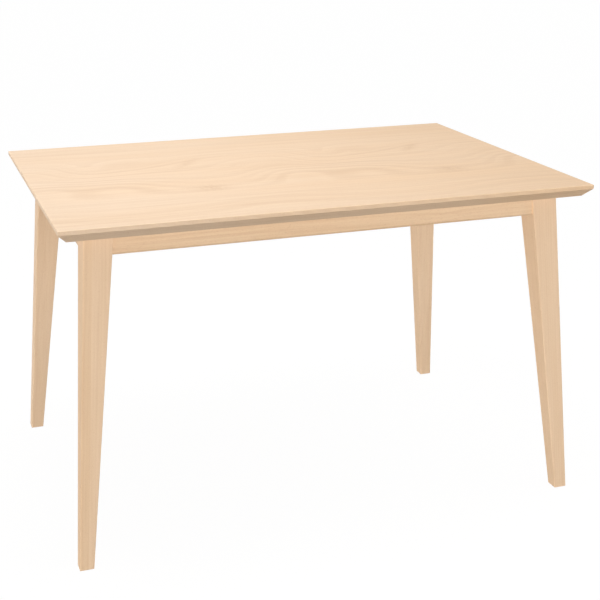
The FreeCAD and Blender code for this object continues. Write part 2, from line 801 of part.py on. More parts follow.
def make_drop_bolt():
    half = bolt_bracket_width / 2
    x_back = rail_inner_x
    x_plate = x_back - bolt_plate_thickness
    x_front = x_plate - bolt_lug_reach
    plate = box((x_plate, x_back), (-half, half), (lug_low - bolt_plate_tail, upper_lug_top))
    lug_y = centred(0, 2 * bolt_collar_radius + bolt_lug_height)
    lugs = [box((x_front, x_back), lug_y, (z, z + bolt_lug_height)) for z in (lug_low, upper_lug_low)]
    bracket = plate.fuse(lugs).removeSplitter().Solids[0]
    outer = edges_where(bracket, lambda a, b: abs(a.z - b.z) > bolt_lug_height / 2
                        and max(a.x, b.x) < x_front + bolt_lug_height / 2)
    bracket = bracket.makeChamfer(lock_corner_chamfer, outer)
    bore = rod(vec(pin_x, 0, lug_low - overrun), Z_AXIS, bolt_pin_radius + bolt_pin_play,
               upper_lug_top - lug_low + 2 * overrun)
    cutters = [bore] + [screw_hole(p, X_AXIS, bolt_screw_length) for p in bolt_screw_places()]
    save("bolt_bracket", cut_all(bracket, cutters))
    save("bolt_bracket_screws", *[wood_screw(p, X_AXIS, bolt_screw_length) for p in bolt_screw_places()])

    pin_top = upper_lug_top + bolt_pin_proud
    pin = rod(vec(pin_x, 0, knob_low), Z_AXIS, bolt_pin_radius, pin_top - knob_low)
    collar = rod(vec(pin_x, 0, collar_low), Z_AXIS, bolt_collar_radius, bolt_collar_height)
    nose = bolt_pin_radius / 4
    knob = faceted([(bolt_knob_radius - nose, knob_low), (bolt_knob_radius, knob_low + nose),
                    (bolt_knob_radius, knob_top)], vec(pin_x, 0, 0), Z_AXIS, bolt_knob_sides)
    save("drop_bolt", pin.fuse([collar, knob]).Solids[0])


make_top()
make_strike_bushes()
for corner_name, (corner_x, corner_y) in CORNERS.items():
    make_leg(corner_name, corner_x, corner_y)
    make_foot_glide(corner_name, corner_x, corner_y)
    make_corner_block(corner_name, corner_x, corner_y)
    make_shoe(corner_name, corner_x, corner_y)
    make_angle(corner_name, corner_x, corner_y)
for side_name, side_sign in SIDES.items():
    make_long_rail(side_name, side_sign)
    make_slide_channel(side_name, side_sign)
    make_fork_lock(side_name, side_sign)
make_end_rail("left", -1)
make_end_rail("right", 1)
make_glide_strips()
make_leaf_store()
make_leaf()
make_sockets()
make_leg_bolts()
make_block_screws()
make_channel_screws()
make_slide_fasteners()
make_fork_screws()
make_drop_bolt()
print(len(os.listdir("parts")), "nodes written")
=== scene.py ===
import math

import bmesh
import bpy
import numpy as np
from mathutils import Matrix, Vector


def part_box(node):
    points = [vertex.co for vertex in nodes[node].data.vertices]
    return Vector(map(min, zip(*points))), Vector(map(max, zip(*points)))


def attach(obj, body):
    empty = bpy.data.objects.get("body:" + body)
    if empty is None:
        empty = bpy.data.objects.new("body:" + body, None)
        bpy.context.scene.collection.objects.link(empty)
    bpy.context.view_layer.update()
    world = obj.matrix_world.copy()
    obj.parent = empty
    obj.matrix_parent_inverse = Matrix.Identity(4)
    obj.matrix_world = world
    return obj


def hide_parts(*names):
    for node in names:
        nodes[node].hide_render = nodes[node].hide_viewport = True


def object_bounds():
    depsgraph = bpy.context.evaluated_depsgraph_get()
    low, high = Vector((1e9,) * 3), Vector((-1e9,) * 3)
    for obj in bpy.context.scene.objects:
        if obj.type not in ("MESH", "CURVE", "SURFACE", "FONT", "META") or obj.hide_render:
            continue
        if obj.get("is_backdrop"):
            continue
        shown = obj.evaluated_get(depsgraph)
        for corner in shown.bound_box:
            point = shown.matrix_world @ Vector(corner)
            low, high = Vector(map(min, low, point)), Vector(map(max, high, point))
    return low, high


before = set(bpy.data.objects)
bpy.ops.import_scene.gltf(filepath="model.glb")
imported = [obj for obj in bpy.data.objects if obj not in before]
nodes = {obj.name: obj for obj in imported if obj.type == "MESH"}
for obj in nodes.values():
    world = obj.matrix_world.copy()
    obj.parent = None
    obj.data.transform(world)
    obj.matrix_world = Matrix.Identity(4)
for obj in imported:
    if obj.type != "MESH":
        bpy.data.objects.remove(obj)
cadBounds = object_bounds()
scene = bpy.context.scene
print("frame loaded:", len(nodes), "nodes")


# helpers for node trees
def feed(tree, node, inputs):
    # an input takes the output of another node, or a plain value
    for key, value in inputs.items():
        if isinstance(value, bpy.types.NodeSocket):
            tree.links.new(value, node.inputs[key])
        else:
            node.inputs[key].default_value = value


def addNode(tree, kind, inputs=None, **settings):
    node = tree.nodes.new(kind)
    column, row = divmod(len(tree.nodes), 6)
    node.location = (240 * column, -300 * row)
    for name, value in settings.items():
        setattr(node, name, value)
    feed(tree, node, inputs or {})
    return node


def mathNode(tree, operation, *values, clamp=False):
    return addNode(tree, "ShaderNodeMath", dict(enumerate(values)), operation=operation, use_clamp=clamp).outputs[0]


def vectorMath(tree, operation, first, second):
    node = addNode(tree, "ShaderNodeVectorMath", {0: first, 1: second}, operation=operation)
    return node.outputs["Value" if operation == "DOT_PRODUCT" else "Vector"]


def splitVector(tree, vector):
    return addNode(tree, "ShaderNodeSeparateXYZ", {0: vector}).outputs


def joinVector(tree, *values):
    return addNode(tree, "ShaderNodeCombineXYZ", dict(enumerate(values))).outputs[0]


def noiseNode(tree, vector, stretch, detail=2.0, roughness=0.5):
    # noise read through a vector that is scaled differently along the grain and across it
    return addNode(tree, "ShaderNodeTexNoise", {
        "Vector": vectorMath(tree, "MULTIPLY", vector, stretch), "Scale": 1.0, "Detail": detail,
        "Roughness": roughness}).outputs


def mapRange(tree, value, source=(0.0, 1.0), target=(0.0, 1.0), kind="LINEAR"):
    return addNode(tree, "ShaderNodeMapRange", {
        "Value": value, "From Min": source[0], "From Max": source[1], "To Min": target[0], "To Max": target[1]},
        interpolation_type=kind).outputs[0]


def mixColour(tree, factor, first, second, blend="MIX"):
    return addNode(tree, "ShaderNodeMix", {"Factor": factor, 6: first, 7: second}, data_type="RGBA",
                   blend_type=blend).outputs[2]


def shadeBelow(tree, colour, value, limit, shade):
    # the colour is multiplied by the shade where the value is below the limit
    return mixColour(tree, mathNode(tree, "LESS_THAN", value, limit), colour, shade, "MULTIPLY")


def fromSrgb(*levels):
    shares = [level / 255 for level in levels]
    return tuple(s / 12.92 if s <= 0.04045 else ((s + 0.055) / 1.055) ** 2.4 for s in shares) + (1.0,)


plainKinds = {float: "Float", int: "Int", tuple: "Vector"}
origin = (0.0, 0.0, 0.0)


def newGroup(kind, name, inputs, outputs):
    # a socket takes the kind of its plain value, or the kind that stands in place of one
    tree = bpy.data.node_groups.new(name, kind)
    for inOut, sockets in (("INPUT", inputs), ("OUTPUT", outputs)):
        for socketName, value in sockets.items():
            named = isinstance(value, str)
            socket = tree.interface.new_socket(
                name=socketName, in_out=inOut, socket_type="NodeSocket" + (value if named else plainKinds[type(value)]))
            if not named:
                socket.default_value = value
    source = addNode(tree, "NodeGroupInput")
    return tree, source.outputs, addNode(tree, "NodeGroupOutput", location=(2600, 0))


# shared shader groups
def makeGrainSwell():
    # A bell-shaped lift of the growth rings, as where a sawn board runs near a crook of the trunk.
    # It comes back along the board at every Repeat, as in a sheet of veneer that is matched end to end.
    tree, source, result = newGroup("ShaderNodeTree", "grainSwell", {
        "Vector": origin, "Centre": origin, "Sharpness": origin, "Turn": 0.0, "Repeat": 0.59}, {"Bell": "Float"})
    shifted = splitVector(tree, vectorMath(tree, "SUBTRACT", source["Vector"], source["Centre"]))
    half = mathNode(tree, "MULTIPLY", source["Repeat"], 0.5)
    minusHalf = mathNode(tree, "MULTIPLY", source["Repeat"], -0.5)
    along = mathNode(tree, "WRAP", shifted[0], half, minusHalf)
    spin = addNode(tree, "ShaderNodeVectorRotate", {
        "Vector": joinVector(tree, along, shifted[1]), "Angle": source["Turn"]}, rotation_type="Z_AXIS")
    scaled = vectorMath(tree, "MULTIPLY", spin.outputs[0], source["Sharpness"])
    square = vectorMath(tree, "DOT_PRODUCT", scaled, scaled)
    feed(tree, result, {"Bell": mathNode(tree, "POWER", math.exp(-1), square)})
    return tree


# how fine each noise of the wood is along the grain and across it, its detail, and its roughness
woodNoise = {
    "drift": ((2.6, 9.0, 9.0), 2.5),
    "ripple": ((11.0, 60.0, 60.0), 2.0),
    "streaks": ((3.2, 170.0, 170.0), 4.0, 0.6),
    "flecks": ((260.0, 1500.0, 1500.0), 1.0),
    "tone": ((1.4, 9.0, 9.0), 2.0),
    "speckle": ((90.0, 210.0, 210.0), 3.0, 0.7),
}
woodRing = {
    "lateWood": 1.6,            # how late in a ring the wood gets darker
    "fall": 3.5,                # how fast it comes back to early wood
    "toneSpread": 0.85,         # how much the rings differ from each other
    "leastTone": 0.15,
    "fleckLimit": 0.60,
    "fleckGain": 9.0,
}


def makeBeechFigure():
    # Growth rings round a pith beside or below the board, seen where the board's surface cuts them.
    # X of the vector runs along the grain.
    tree, source, result = newGroup("ShaderNodeTree", "beechFigure", {
        "Vector": origin, "Pith Depth": 0.09, "Pith Side": 0.0, "Ring Width": 0.007, "Wander": 0.02,
        "Ring Shift": 0.0, "Ripple": 0.7, "Fine Rings": 3.0},
        dict.fromkeys(("Rings", "Fine", "Streaks", "Flecks", "Tone"), "Float"))
    vector = source["Vector"]
    parts = splitVector(tree, vector)
    drift = noiseNode(tree, vector, *woodNoise["drift"])
    driftParts = addNode(tree, "ShaderNodeSeparateColor", {0: drift["Color"]}).outputs
    sideShift, depthShift = [
        mathNode(tree, "MULTIPLY", mathNode(tree, "SUBTRACT", driftParts[i], 0.5), source["Wander"]) for i in (0, 1)]
    side = mathNode(tree, "ADD", mathNode(tree, "SUBTRACT", parts[1], source["Pith Side"]), sideShift)
    depth = mathNode(tree, "ADD", mathNode(tree, "ADD", parts[2], source["Pith Depth"]), depthShift)
    squares = [mathNode(tree, "MULTIPLY", value, value) for value in (side, depth)]
    reach = mathNode(tree, "SQRT", mathNode(tree, "ADD", *squares))
    ringCount = mathNode(tree, "DIVIDE", reach, source["Ring Width"])
    ringCount = mathNode(tree, "ADD", ringCount, source["Ring Shift"])
    ripple = noiseNode(tree, vector, *woodNoise["ripple"])
    ringCount = mathNode(tree, "ADD", ringCount, mathNode(tree, "MULTIPLY", ripple[0], source["Ripple"]))
    fineCount = mathNode(tree, "MULTIPLY", ringCount, source["Fine Rings"])
    for name, count in (("Rings", ringCount), ("Fine", fineCount)):
        inRing = mathNode(tree, "FRACT", count)
        lateWood = mathNode(tree, "POWER", inRing, woodRing["lateWood"])
        # the jump back to early wood is softened over the last part of each ring
        falling = mathNode(tree, "SUBTRACT", 1.0, inRing)
        falling = mathNode(tree, "MULTIPLY", falling, woodRing["fall"], clamp=True)
        lateWood = mathNode(tree, "MULTIPLY", lateWood, falling)
        ringTone = addNode(tree, "ShaderNodeTexWhiteNoise", {"W": mathNode(tree, "FLOOR", count)},
                           noise_dimensions="1D").outputs["Value"]
        ringTone = mathNode(tree, "MULTIPLY_ADD", ringTone, woodRing["toneSpread"], woodRing["leastTone"])
        feed(tree, result, {name: mathNode(tree, "MULTIPLY", lateWood, ringTone)})
    flecks = noiseNode(tree, vector, *woodNoise["flecks"])
    flecks = mathNode(tree, "SUBTRACT", flecks[0], woodRing["fleckLimit"])
    feed(tree, result, {"Streaks": noiseNode(tree, vector, *woodNoise["streaks"])[0],
                        "Flecks": mathNode(tree, "MULTIPLY", flecks, woodRing["fleckGain"], clamp=True),
                        "Tone": noiseNode(tree, vector, *woodNoise["tone"])[0]})
    return tree


def makeBrushedMetal():
    # fine lines along the drawn or rolled direction, X of the vector, and soft clouds of tone
    tree, source, result = newGroup("ShaderNodeTree", "brushedMetal", {
        "Vector": origin, "Line Stretch": (25.0, 900.0, 900.0), "Cloud Size": 18.0},
        {"Lines": "Float", "Clouds": "Float"})
    lines = noiseNode(tree, source["Vector"], source["Line Stretch"], 3.0)
    clouds = addNode(tree, "ShaderNodeTexVoronoi", {
        "Smoothness": 0.6, "Vector": source["Vector"], "Scale": source["Cloud Size"]}, feature="SMOOTH_F1")
    tones = addNode(tree, "ShaderNodeSeparateColor", {0: clouds.outputs["Color"]})
    feed(tree, result, {"Lines": lines[0], "Clouds": tones.outputs[0]})
    return tree


def makeMouldSkin():
    # the fine spark-eroded skin of a moulded plastic part
    tree, source, result = newGroup("ShaderNodeTree", "mouldSkin", {"Vector": origin, "Grain Size": 1600.0},
                                    {"Height": "Float", "Mottle": "Float"})
    skin = addNode(tree, "ShaderNodeTexNoise", {
        "Vector": source["Vector"], "Scale": source["Grain Size"], "Detail": 2.0})
    mottle = noiseNode(tree, source["Vector"], (40.0, 40.0, 40.0), 3.0)
    feed(tree, result, {"Height": skin.outputs[0], "Mottle": mottle[0]})
    return tree


grainSwell = makeGrainSwell()
beechFigure = makeBeechFigure()
brushedMetal = makeBrushedMetal()
mouldSkin = makeMouldSkin()

# strength and depth of each finish's relief
reliefOf = {"beech": (0.25, 0.0002), "metal": (0.2, 0.0001), "plastic": (0.25, 0.0001), "felt": (0.8, 0.0004)}


def newMaterial(name):
    material = bpy.data.materials.new(name)
    material.use_nodes = True
    material.node_tree.nodes.clear()
    return material, material.node_tree, addNode(material.node_tree, "ShaderNodeTexCoord").outputs["Object"]


def finishMaterial(tree, finish, relief, inputs):
    strength, depth = reliefOf[finish]
    bump = addNode(tree, "ShaderNodeBump", {"Strength": strength, "Distance": depth, "Height": relief})
    shader = addNode(tree, "ShaderNodeBsdfPrincipled", dict(inputs, Normal=bump.outputs[0]))
    addNode(tree, "ShaderNodeOutputMaterial", {"Surface": shader.outputs[0]})


# beech
# The flat-sawn figure of the face veneer, in metres on the table: centre along and across, reach along and
# across, turn in degrees, and how many rings it lifts. "accents" deepen the lines there, "marks" are dark spots.
topFigure = {
    "repeat": 0.59,
    "swells": ((0.000, -0.070, 0.090, 0.085, 16, 2.5),
               (0.170, -0.075, 0.120, 0.085, -10, 2.4),
               (-0.460, 0.120, 0.070, 0.080, 0, -2.3),
               (-0.330, 0.110, 0.120, 0.040, 28, -1.2),
               (-0.020, 0.110, 0.150, 0.090, 8, 2.3),
               (-0.120, -0.300, 0.200, 0.130, 0, 1.2)),
    "accents": ((0.130, -0.080, 0.200, 0.110, 0, 0.75),
                (-0.340, 0.130, 0.150, 0.090, 12, 0.75),
                (-0.120, -0.290, 0.200, 0.080, 0, 0.40)),
    "marks": ((-0.222, -0.147, 0.040, 0.028, 0, 0.50),
              (-0.208, 0.112, 0.048, 0.013, 52, 0.42)),
    "plain": 0.25,              # how much of the lines shows away from the accents
    "speckle": (3.0, -0.9),     # breaks the marks up
}


def addBells(tree, vector, bells, repeat, total=0.0):
    for x, y, along, across, turn, height in bells:
        bell = addNode(tree, "ShaderNodeGroup", {
            "Vector": vector, "Centre": (x, y, 0.0), "Sharpness": (1 / along, 1 / across, 0.0),
            "Turn": math.radians(-turn), "Repeat": repeat}, node_tree=grainSwell)
        total = mathNode(tree, "MULTIPLY_ADD", bell.outputs[0], height, total)
    return total


beechLook = {
    "light": fromSrgb(252, 226, 198),
    "dark": fromSrgb(250, 215, 176),
    "toneRange": (0.3, 0.7),
    "drift": 0.7,               # how much of the change from light to dark runs along the top
    "driftLength": 1.2,
    "ring": fromSrgb(214, 172, 130),
    "ringStrength": 0.75,
    "fineStrength": 0.16,
    "streakRange": (0.45, 0.75),
    "streakStrength": 0.22,
    "fleck": fromSrgb(196, 148, 105),
    "fleckStrength": 0.30,
    "roughness": (0.42, 0.58),
    "sheen": 0.3,
}


def makeBeech(name, look, figure, grainVector=None, swells=None, lippingAndShade=None, strip=None):
    # figure holds this board's values for the beechFigure group
    material, tree, place = newMaterial(name)
    vector = grainVector(tree, place) if grainVector else place
    board = addNode(tree, "ShaderNodeGroup", {"Vector": vector, **figure}, node_tree=beechFigure)
    grain = board.outputs
    share = mapRange(tree, grain["Tone"], look["toneRange"])
    if look["drift"]:
        slow = mathNode(tree, "MULTIPLY_ADD", splitVector(tree, place)[0], look["drift"] / look["driftLength"],
                        look["drift"] / 2)
        share = mathNode(tree, "MULTIPLY_ADD", share, 1 - look["drift"], slow)
    rings = mathNode(tree, "MULTIPLY", grain["Rings"], look["ringStrength"])
    if swells:
        repeat = swells["repeat"]
        feed(tree, board, {"Ring Shift": addBells(tree, vector, swells["swells"], repeat)})
        rings = mathNode(tree, "MULTIPLY", rings, addBells(tree, vector, swells["accents"], repeat, swells["plain"]))
        marks = addBells(tree, vector, swells["marks"], repeat)
        speckle = noiseNode(tree, vector, *woodNoise["speckle"])[0]
        speckle = mathNode(tree, "MULTIPLY_ADD", speckle, *swells["speckle"], clamp=True)
        rings = mathNode(tree, "ADD", rings, mathNode(tree, "MULTIPLY", marks, speckle))
    fine = mathNode(tree, "MULTIPLY", grain["Fine"], look["fineStrength"])
    streaks = mapRange(tree, grain["Streaks"], look["streakRange"], (0.0, look["streakStrength"]))
    flecks = mathNode(tree, "MULTIPLY", grain["Flecks"], look["fleckStrength"])
    colour = mixColour(tree, share, look["light"], look["dark"])
    for amount, shade in ((rings, "ring"), (fine, "ring"), (streaks, "ring"), (flecks, "fleck")):
        colour = mixColour(tree, amount, colour, look[shade])
    if lippingAndShade:     # the top's lipping tone with painted shade on its bevel, and painted shade on a rail's rounded lower edge
        colour = shadeBelow(tree, colour, splitVector(tree, place)[2], lippingAndShade["level"], lippingAndShade["shade"])
    if strip:       # the outer piece of a glued leg, cut from a slightly deeper board
        colour = shadeBelow(tree, colour, splitVector(tree, vector)[1], strip["width"], strip["shade"])
    relief = mathNode(tree, "SUBTRACT", grain["Streaks"], grain["Flecks"])
    finishMaterial(tree, "beech", relief, {
        "Base Color": colour, "Roughness": mapRange(tree, grain["Streaks"], target=look["roughness"]), "IOR": 1.45,
        "Specular IOR Level": look["sheen"]})
    return material


def turned(degrees):
    # turns the vector about Z, to bring a board's grain onto X
    def build(tree, vector):
        return addNode(tree, "ShaderNodeMapping", {
            "Vector": vector, "Rotation": (0.0, 0.0, math.radians(degrees))}).outputs[0]
    return build


def dress(nodeName, material):
    slots = nodes[nodeName].data.materials
    if len(slots) == 0:
        slots.append(material)
    for i in range(len(slots)):
        slots[i] = material


# the top and the loose leaf: a face veneer on a core with solid lipping
topBoard = {"Pith Depth": 0.0, "Pith Side": 6.0, "Ring Width": 0.045, "Wander": 0.020, "Ripple": 0.25,
            "Fine Rings": 3.0}
leafBoard = {"turn": 90, "pithDepth": 0.12, "figure": {"Pith Side": 0.05, "Ring Width": 0.009, "Wander": 0.10}}
lippingToneAndShade = {"shade": (0.920, 0.900, 0.880, 1.0), "veneer": 0.0009}     # below the veneer: the lipping's own deeper tone, deepened further as painted shade for the bevel and underside, which face down
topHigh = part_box("table_top")[1]
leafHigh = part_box("extension_leaf")[1]
dress("table_top", makeBeech("beechTop", beechLook, topBoard, swells=topFigure,
                             lippingAndShade=dict(lippingToneAndShade, level=topHigh.z - lippingToneAndShade["veneer"])))
leafFigure = dict(leafBoard["figure"], **{"Pith Depth": leafBoard["pithDepth"] - leafHigh.z})
dress("extension_leaf", makeBeech("beechLeaf", beechLook, leafFigure, turned(leafBoard["turn"]),
                                  lippingAndShade=dict(lippingToneAndShade, level=leafHigh.z - lippingToneAndShade["veneer"])))

solidBeechLook = dict(beechLook, light=fromSrgb(247, 216, 183), dark=fromSrgb(241, 208, 173),
                      ring=fromSrgb(224, 184, 142), ringStrength=0.40, fineStrength=0.0, streakStrength=0.5,
                      drift=0.0, sheen=0.15)

# rails: the turn of the grain, and the figure of each board
# painted light: the rails' beech is a little lighter than the legs', against the shade under the top's overhang; the
# stronger rings are their own grain
railLightenedLook = dict(solidBeechLook, light=fromSrgb(249, 220, 185), dark=fromSrgb(245, 212, 176), ringStrength=0.55)
railBoards = {
    "front_rail": (0, {"Pith Depth": -0.40, "Pith Side": -0.55, "Ring Width": 0.0075, "Wander": 0.030}),
    "back_rail": (0, {"Pith Depth": -0.45, "Pith Side": 0.62, "Ring Width": 0.0070, "Wander": 0.030}),
    "left_end_rail": (90, {"Pith Depth": -0.42, "Pith Side": 0.70, "Ring Width": 0.0080, "Wander": 0.03}),
    "right_end_rail": (90, {"Pith Depth": -0.46, "Pith Side": -0.75, "Ring Width": 0.0070, "Wander": 0.03}),
}
railEdgeShade = {"height": 0.0035, "shade": (0.86, 0.81, 0.76, 1.0)}     # painted shade on the rounded lower edge, which turns down away from the light
for nodeName, (turn, figure) in railBoards.items():
    # each rail's band of painted shade reaches this far up from its lowest point
    edge = dict(railEdgeShade, level=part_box(nodeName)[0].z + railEdgeShade["height"])
    dress(nodeName, makeBeech("beech_" + nodeName, railLightenedLook, figure, turned(turn), lippingAndShade=edge))

# legs: the side of the table along X and Y, and the figure of each
legLook = dict(solidBeechLook, ringStrength=0.30, streakStrength=0.30)
legBoards = {
    "front_left": (-1, -1, {"Pith Depth": 0.30, "Pith Side": -0.12, "Ring Width": 0.0036, "Wander": 0.010}),
    "front_right": (1, -1, {"Pith Depth": 0.26, "Pith Side": -0.20, "Ring Width": 0.0040, "Wander": 0.014}),
    "back_left": (-1, 1, {"Pith Depth": 0.28, "Pith Side": 0.22, "Ring Width": 0.0038, "Wander": 0.012}),
    "back_right": (1, 1, {"Pith Depth": 0.33, "Pith Side": -0.16, "Ring Width": 0.0042, "Wander": 0.012}),
}
legShape = {"corner": (0.541, 0.341, 0.7265), "lean": 54 / 725}     # outer edge at the top, and its splay
gluedStrip = {"leg": "front_left", "width": 0.0185, "shade": (0.980, 0.965, 0.935, 1.0),
              "jump": 0.73}     # the outer piece's grain comes from this far along the board


def alongLeg(sideX, sideY, glueLine):
    # X is the distance down the leg, Y and Z are the distances in from its outer faces, which lean
    def build(tree, vector):
        x, y, z = splitVector(tree, vector)
        drop = mathNode(tree, "SUBTRACT", legShape["corner"][2], z)
        inwards = []
        for part, side, edge in ((x, sideX, legShape["corner"][0]), (y, sideY, legShape["corner"][1])):
            face = mathNode(tree, "MULTIPLY_ADD", drop, legShape["lean"], edge)
            inwards.append(mathNode(tree, "MULTIPLY_ADD", part, -side, face))
        outer = mathNode(tree, "LESS_THAN", inwards[0], glueLine)
        return joinVector(tree, mathNode(tree, "MULTIPLY_ADD", outer, gluedStrip["jump"], drop), *inwards)
    return build


for corner, (sideX, sideY, figure) in legBoards.items():
    strip = gluedStrip if corner == gluedStrip["leg"] else None
    vector = alongLeg(sideX, sideY, strip["width"] if strip else 0.0)
    dress("leg_" + corner, makeBeech("beechLeg_" + corner, legLook, figure, vector, strip=strip))

# corner blocks, and what holds the stored leaf
blockLook = dict(solidBeechLook, roughness=(0.6, 0.75))
blockBoard = {"Pith Depth": -0.45, "Pith Side": -0.30, "Ring Width": 0.004, "Wander": 0.02}
for corner, (sideX, sideY, figure) in legBoards.items():
    dress("corner_block_" + corner, makeBeech("beechBlock_" + corner, blockLook, blockBoard,
                                              turned(45 * sideX * sideY)))
bearerBeech = makeBeech("beechBearer", blockLook, blockBoard, turned(90))
fenceBeech = makeBeech("beechFence", blockLook, blockBoard)
for nodeName in nodes:
    if nodeName.startswith("leaf_bearer"):
        dress(nodeName, bearerBeech)
    if nodeName.startswith("leaf_fence"):
        dress(nodeName, fenceBeech)
print("beech boards dressed")


# metal, plastic and felt
def makeMetal(name, colour, darker, roughness, cloudSize, cloudStrength, stretch=(25.0, 900.0, 900.0)):
    material, tree, vector = newMaterial(name)
    brush = addNode(tree, "ShaderNodeGroup", {"Vector": vector, "Cloud Size": cloudSize, "Line Stretch": stretch},
                    node_tree=brushedMetal).outputs
    clouds = mathNode(tree, "MULTIPLY", brush["Clouds"], cloudStrength)
    finishMaterial(tree, "metal", brush["Lines"], {
        "Base Color": mixColour(tree, clouds, colour, darker),
        "Roughness": mapRange(tree, brush["Lines"], target=roughness), "Metallic": 1.0})
    return material


def makePlastic(name, colour, deeper, roughness):
    material, tree, vector = newMaterial(name)
    skin = addNode(tree, "ShaderNodeGroup", {"Vector": vector}, node_tree=mouldSkin).outputs
    finishMaterial(tree, "plastic", skin["Height"], {
        "Base Color": mixColour(tree, skin["Mottle"], colour, deeper),
        "Roughness": mapRange(tree, skin["Mottle"], target=roughness)})
    return material


def makeFelt(name, colour, deeper):
    material, tree, vector = newMaterial(name)
    fibres = noiseNode(tree, vector, (900.0, 900.0, 900.0), 6.0, 0.7)[0]
    patches = noiseNode(tree, vector, (60.0, 60.0, 60.0), 3.0)[0]
    mix = mathNode(tree, "MULTIPLY", mathNode(tree, "MULTIPLY", fibres, patches), 3.0, clamp=True)
    finishMaterial(tree, "felt", fibres, {
        "Base Color": mixColour(tree, mix, deeper, colour), "Roughness": 0.95, "Sheen Weight": 0.4})
    return material


turnedLines = (12.0, 12.0, 2600.0)      # rings left by the lathe, square to Z
zincSteel = makeMetal("zincSteel", (0.60, 0.61, 0.62, 1), (0.50, 0.52, 0.54, 1), (0.30, 0.46), 120.0, 0.6)
screwSteel = makeMetal("screwSteel", (0.58, 0.58, 0.57, 1), (0.47, 0.47, 0.46, 1), (0.26, 0.40), 260.0, 0.4)
drawnSteel = makeMetal("drawnSteel", (0.64, 0.64, 0.65, 1), (0.57, 0.58, 0.60, 1), (0.18, 0.34), 60.0, 0.3)
turnedSteel = makeMetal("turnedSteel", (0.66, 0.66, 0.67, 1), (0.60, 0.60, 0.62, 1), (0.16, 0.32), 60.0, 0.3,
                        turnedLines)
turnedBrass = makeMetal("turnedBrass", (0.74, 0.55, 0.24, 1), (0.62, 0.43, 0.17, 1), (0.22, 0.38), 200.0, 0.5,
                        turnedLines)
whiteNylon = makePlastic("whiteNylon", (0.80, 0.79, 0.74, 1), (0.72, 0.71, 0.65, 1), (0.40, 0.52))
greyNylon = makePlastic("greyNylon", (0.085, 0.086, 0.09, 1), (0.065, 0.066, 0.07, 1), (0.45, 0.6))
woolFelt = makeFelt("woolFelt", (0.30, 0.27, 0.22, 1), (0.16, 0.14, 0.11, 1))

finishes = (
    (zincSteel, ("slide_channel_", "bolt_bracket", "shoe_angle_", "bolt_washers", "bolt_nuts", "hanger_bolts")),
    (whiteNylon, ("slide_shoe_", "slide_stops_", "glide_strips_", "foot_glide_")),
    (greyNylon, ("fork_guide_", "leaf_socket_")),
    (drawnSteel, ("lock_fork_", "drop_bolt")),
    (screwSteel, ("shoe_bolts",)),
    (turnedBrass, ("strike_bushes",)),
    (woolFelt, ("felt_pads",)),
)
for nodeName in nodes:
    for material, starts in finishes:
        if nodeName.startswith(starts):
            dress(nodeName, material)
    if nodeName.endswith("_screws"):
        dress(nodeName, screwSteel)
print("metal, plastic and felt dressed")

# Fasteners, glides and pads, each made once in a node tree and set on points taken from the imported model
millimetre = 0.001


def looseParts(nodeName):
    # the separate solids of a CAD node, as arrays of their corners
    mesh = bmesh.new()
    mesh.from_mesh(nodes[nodeName].data)
    bmesh.ops.remove_doubles(mesh, verts=mesh.verts, dist=0.000001)
    found, seen = [], set()
    for start in mesh.verts:
        if start.index in seen:
            continue
        seen.add(start.index)
        waiting, corners = [start], []
        while waiting:
            corner = waiting.pop()
            corners.append(list(corner.co))
            for edge in corner.link_edges:
                other = edge.other_vert(corner)
                if other.index not in seen:
                    seen.add(other.index)
                    waiting.append(other)
        found.append(np.array(corners))
    mesh.free()
    return found


# Each place is a point, the direction from there, and the length.
def longPlace(corners):
    # The point is the head's outer end: the thicker end, or the end away from the table's middle if both are alike.
    centre = corners.mean(0)
    axis = np.linalg.svd(corners - centre)[2][0]
    along = (corners - centre) @ axis
    spread = np.linalg.norm(corners - centre - np.outer(along, axis), axis=1)
    near = spread[along < np.percentile(along, 30)].max()
    far = spread[along > np.percentile(along, 70)].max()
    inward = np.linalg.norm(centre + axis) < np.linalg.norm(centre - axis)
    if far > near * 1.05 or (far > near * 0.95 and inward):
        axis, along = -axis, -along
    return centre + axis * along.min(), axis, along.max() - along.min()


def flatPlace(corners):
    # the middle of a disc or nut, and the direction of its thickness
    centre = (corners.min(0) + corners.max(0)) / 2
    axis = np.linalg.svd(corners - corners.mean(0))[2][2]
    along = (corners - centre) @ axis
    return centre, axis, along.max() - along.min()


def uprightPlace(low, high):
    # the middle of a box's underside
    return ((low[0] + high[0]) / 2, (low[1] + high[1]) / 2, low[2]), (0.0, 0.0, 1.0), high[2] - low[2]


def addObject(name, data):
    made = bpy.data.objects.new(name, data)
    scene.collection.objects.link(made)
    return made


def pointCloud(name, places):
    # one point for each place, with the direction kept as the "aim" attribute
    mesh = bpy.data.meshes.new(name)
    mesh.from_pydata([tuple(place[0]) for place in places], [], [])
    aim = mesh.attributes.new("aim", "FLOAT_VECTOR", "POINT")
    aim.data.foreach_set("vector", np.array([place[1] for place in places]).ravel())
    return addObject(name, mesh)


def startTree(name, inputs):
    return newGroup("GeometryNodeTree", name, {"Geometry": "Geometry", **inputs, "Material": "Material"},
                    {"Geometry": "Geometry"})


def endTree(tree, sizes, result, geometry):
    # the shape, drawn in millimetres along Z, goes on every point and turns to its aim
    aim = addNode(tree, "GeometryNodeInputNamedAttribute", {"Name": "aim"}, data_type="FLOAT_VECTOR")
    turn = addNode(tree, "FunctionNodeAlignRotationToVector", {"Vector": aim.outputs[0]}, axis="Z")
    copies = addNode(tree, "GeometryNodeInstanceOnPoints", {
        "Points": sizes["Geometry"], "Instance": geometry, "Rotation": turn.outputs[0], "Scale": (millimetre,) * 3})
    real = addNode(tree, "GeometryNodeRealizeInstances", {0: copies.outputs[0]})
    dressed = addNode(tree, "GeometryNodeSetMaterial", {"Geometry": real.outputs[0], "Material": sizes["Material"]})
    feed(tree, result, {0: dressed.outputs[0]})


def cylinder(tree, inputs):
    return addNode(tree, "GeometryNodeMeshCylinder", inputs, fill_type="NGON").outputs["Mesh"]


